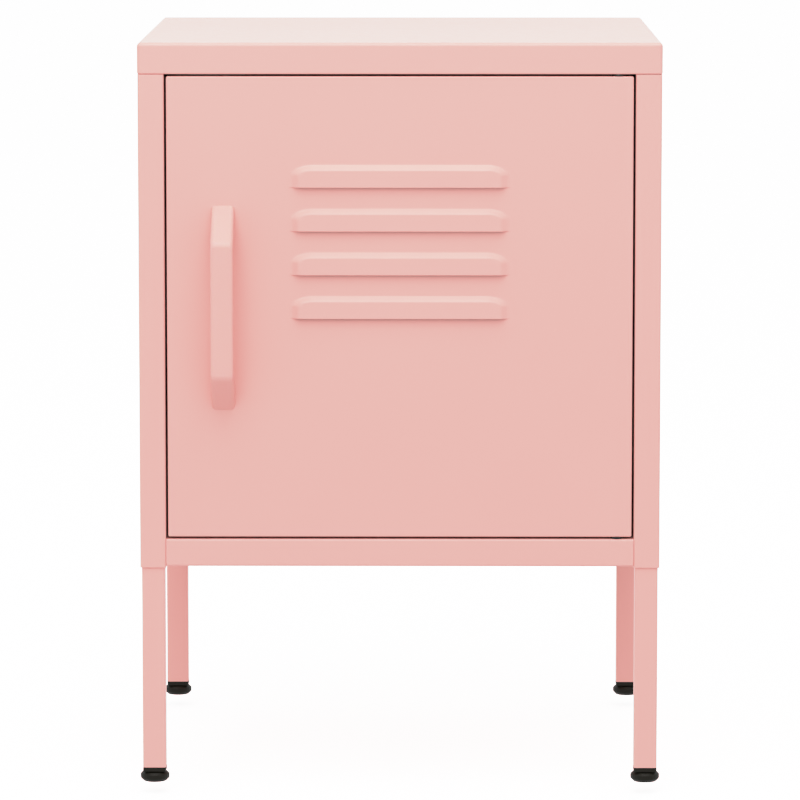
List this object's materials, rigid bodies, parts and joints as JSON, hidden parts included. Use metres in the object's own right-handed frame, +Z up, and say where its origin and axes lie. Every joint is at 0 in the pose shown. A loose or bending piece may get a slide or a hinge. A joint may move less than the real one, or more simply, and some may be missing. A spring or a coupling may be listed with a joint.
{
  "type": "locker cabinet",
  "caption": "Small folded-steel bedside locker on square legs, with a louvred door, a bow handle and levelling feet.",
  "frame": {"origin": "on the floor, under the middle of the whole object's bounding box, with the handle and the back screws included", "axes": "+X to the right of someone facing the door, +Y to the back, +Z up"},
  "size_m": [0.3514, 0.3786, 0.5],
  "materials": {
    "pink_powder_coat": "pale pink satin powder coat on 0.8 mm steel sheet",
    "pink_plastic": "pale pink satin moulded plastic, coloured to match the door",
    "black_plastic": "black moulded plastic",
    "zinc_plated_steel": "bright zinc plating",
    "black_nylon": "black nylon",
    "grey_plastic": "light grey moulded plastic",
    "ferrite": "dark grey sintered ferrite magnet"
  },
  "bodies": {
    "carcass": {"lid": "pink_powder_coat", "back_panel": "pink_powder_coat", "floor_tray": "pink_powder_coat", "left_side_panel": "pink_powder_coat", "right_side_panel": "pink_powder_coat", "front_left_leg": "pink_powder_coat", "front_left_leg_plug": "black_plastic", "front_right_leg": "pink_powder_coat", "front_right_leg_plug": "black_plastic", "rear_left_leg": "pink_powder_coat", "rear_left_leg_plug": "black_plastic", "rear_right_leg": "pink_powder_coat", "rear_right_leg_plug": "black_plastic", "hinge_pin_upper": "zinc_plated_steel", "hinge_pin_lower": "zinc_plated_steel", "catch_housing": "grey_plastic", "catch_magnet": "ferrite", "catch_lower_pole": "zinc_plated_steel", "catch_upper_pole": "zinc_plated_steel", "catch_screw_left": "zinc_plated_steel", "catch_screw_right": "zinc_plated_steel", "front_left_leg_screw_1": "zinc_plated_steel", "front_left_leg_screw_2": "zinc_plated_steel", "front_right_leg_screw_1": "zinc_plated_steel", "front_right_leg_screw_2": "zinc_plated_steel", "rear_left_leg_screw_1": "zinc_plated_steel", "rear_left_leg_screw_2": "zinc_plated_steel", "rear_right_leg_screw_1": "zinc_plated_steel", "rear_right_leg_screw_2": "zinc_plated_steel", "lid_screw_front_left": "zinc_plated_steel", "lid_screw_front_right": "zinc_plated_steel", "lid_screw_rear_left": "zinc_plated_steel", "lid_screw_rear_right": "zinc_plated_steel", "floor_screw_front_left": "zinc_plated_steel", "floor_screw_front_right": "zinc_plated_steel", "floor_screw_rear_left": "zinc_plated_steel", "floor_screw_rear_right": "zinc_plated_steel", "back_screw_left_1": "zinc_plated_steel", "back_screw_left_2": "zinc_plated_steel", "back_screw_left_3": "zinc_plated_steel", "back_screw_right_1": "zinc_plated_steel", "back_screw_right_2": "zinc_plated_steel", "back_screw_right_3": "zinc_plated_steel"},
    "door": {"door_panel": "pink_powder_coat", "door_handle": "pink_plastic", "handle_screw_upper": "zinc_plated_steel", "handle_screw_lower": "zinc_plated_steel", "hinge_bush_upper": "black_nylon", "hinge_bush_lower": "black_nylon"},
    "front_left_stud": {"front_left_foot_stud": "zinc_plated_steel"},
    "front_left_pad": {"front_left_foot_pad": "black_plastic"},
    "front_right_stud": {"front_right_foot_stud": "zinc_plated_steel"},
    "front_right_pad": {"front_right_foot_pad": "black_plastic"},
    "rear_left_stud": {"rear_left_foot_stud": "zinc_plated_steel"},
    "rear_left_pad": {"rear_left_foot_pad": "black_plastic"},
    "rear_right_stud": {"rear_right_foot_stud": "zinc_plated_steel"},
    "rear_right_pad": {"rear_right_foot_pad": "black_plastic"}
  },
  "joints": [
    {"name": "door_hinge", "type": "hinge", "parent": "carcass", "child": "door", "pos_m": [0.14575, -0.1581, 0.32285], "axis": [0, 0, 1], "range_deg": [0, 130]},
    {"name": "front_left_foot_travel", "type": "slide", "parent": "carcass", "child": "front_left_stud", "axis": [0, 0, -1], "range_m": [0, 0.008]},
    {"name": "front_left_foot_turn", "type": "hinge", "parent": "front_left_stud", "child": "front_left_pad", "pos_m": [-0.16595, -0.15355, 0.003], "axis": [0, 0, -1], "range_deg": [0, 2880]},
    {"name": "front_right_foot_travel", "type": "slide", "parent": "carcass", "child": "front_right_stud", "axis": [0, 0, -1], "range_m": [0, 0.008]},
    {"name": "front_right_foot_turn", "type": "hinge", "parent": "front_right_stud", "child": "front_right_pad", "pos_m": [0.16595, -0.15355, 0.003], "axis": [0, 0, -1], "range_deg": [0, 2880]},
    {"name": "rear_left_foot_travel", "type": "slide", "parent": "carcass", "child": "rear_left_stud", "axis": [0, 0, -1], "range_m": [0, 0.008]},
    {"name": "rear_left_foot_turn", "type": "hinge", "parent": "rear_left_stud", "child": "rear_left_pad", "pos_m": [-0.16595, 0.17735, 0.003], "axis": [0, 0, -1], "range_deg": [0, 2880]},
    {"name": "rear_right_foot_travel", "type": "slide", "parent": "carcass", "child": "rear_right_stud", "axis": [0, 0, -1], "range_m": [0, 0.008]},
    {"name": "rear_right_foot_turn", "type": "hinge", "parent": "rear_right_stud", "child": "rear_right_pad", "pos_m": [0.16595, 0.17735, 0.003], "axis": [0, 0, -1], "range_deg": [0, 2880]}
  ],
  "couplings": [
    {"joint": "front_left_foot_travel", "follows": "front_left_foot_turn", "m_per_rad": 0.00015915},
    {"joint": "front_right_foot_travel", "follows": "front_right_foot_turn", "m_per_rad": 0.00015915},
    {"joint": "rear_left_foot_travel", "follows": "rear_left_foot_turn", "m_per_rad": 0.00015915},
    {"joint": "rear_right_foot_travel", "follows": "rear_right_foot_turn", "m_per_rad": 0.00015915}
  ]
}
